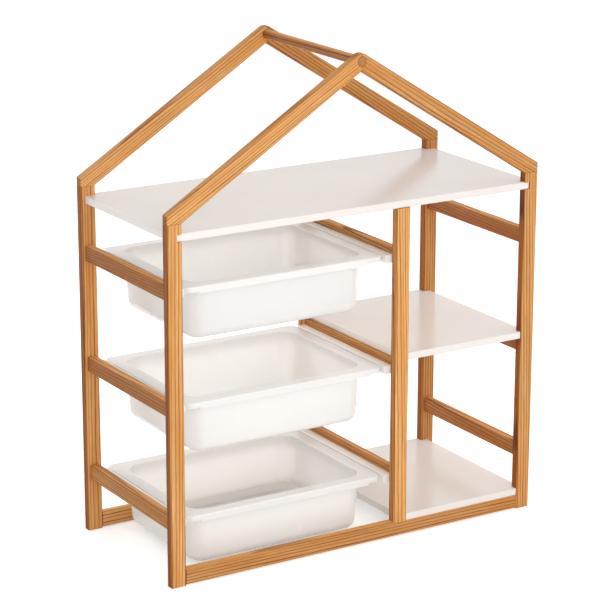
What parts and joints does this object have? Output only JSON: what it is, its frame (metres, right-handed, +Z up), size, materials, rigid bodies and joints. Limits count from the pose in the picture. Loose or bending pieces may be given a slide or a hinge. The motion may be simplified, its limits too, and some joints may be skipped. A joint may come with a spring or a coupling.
{
  "type": "toy shelf",
  "caption": "House-shaped wooden toy shelf with a gabled frame, white boards on open bays and pull-out moulded bins hung by their rims on runners.",
  "frame": {"origin": "on the floor under the middle of the frame, midway between the posts", "axes": "+X to the right seen from the front, the front faces -Y, +Z up"},
  "size_m": [0.8, 0.35, 0.9417],
  "materials": {
    "pine": "oiled, satin",
    "white_board": "white lacquer, satin",
    "white_runner": "moulded, matt",
    "white_bin": "moulded, satin"
  },
  "bodies": {
    "frame": {"joint_dowels": "pine", "ridge_bar": "pine", "front_left_post": "pine", "front_right_post": "pine", "rear_left_post": "pine", "rear_right_post": "pine", "front_centre_post": "pine", "rear_centre_post": "pine", "front_left_rafter": "pine", "front_right_rafter": "pine", "rear_left_rafter": "pine", "rear_right_rafter": "pine", "front_bottom_rail": "pine", "rear_bottom_rail": "pine", "left_upper_rail": "pine", "left_middle_rail": "pine", "left_lower_rail": "pine", "centre_upper_rail": "pine", "centre_middle_rail": "pine", "centre_lower_rail": "pine", "right_upper_rail": "pine", "right_middle_rail": "pine", "right_lower_rail": "pine", "top_shelf": "white_board", "middle_shelf": "white_board", "bottom_shelf": "white_board", "upper_left_runner": "white_runner", "upper_right_runner": "white_runner", "middle_left_runner": "white_runner", "middle_right_runner": "white_runner", "lower_left_runner": "white_runner", "lower_right_runner": "white_runner"},
    "upper_bin": {"upper_bin": "white_bin"},
    "middle_bin": {"middle_bin": "white_bin"},
    "lower_bin": {"lower_bin": "white_bin"}
  },
  "joints": [
    {"name": "upper_bin_draw", "type": "slide", "parent": "frame", "child": "upper_bin", "axis": [0, -1, 0], "range_m": [0, 0.25]},
    {"name": "middle_bin_draw", "type": "slide", "parent": "frame", "child": "middle_bin", "axis": [0, -1, 0], "range_m": [0, 0.25]},
    {"name": "lower_bin_lift_out", "type": "slide", "parent": "frame", "child": "lower_bin", "axis": [0, -0.7071, 0.7071], "range_m": [0, 0.12]}
  ]
}
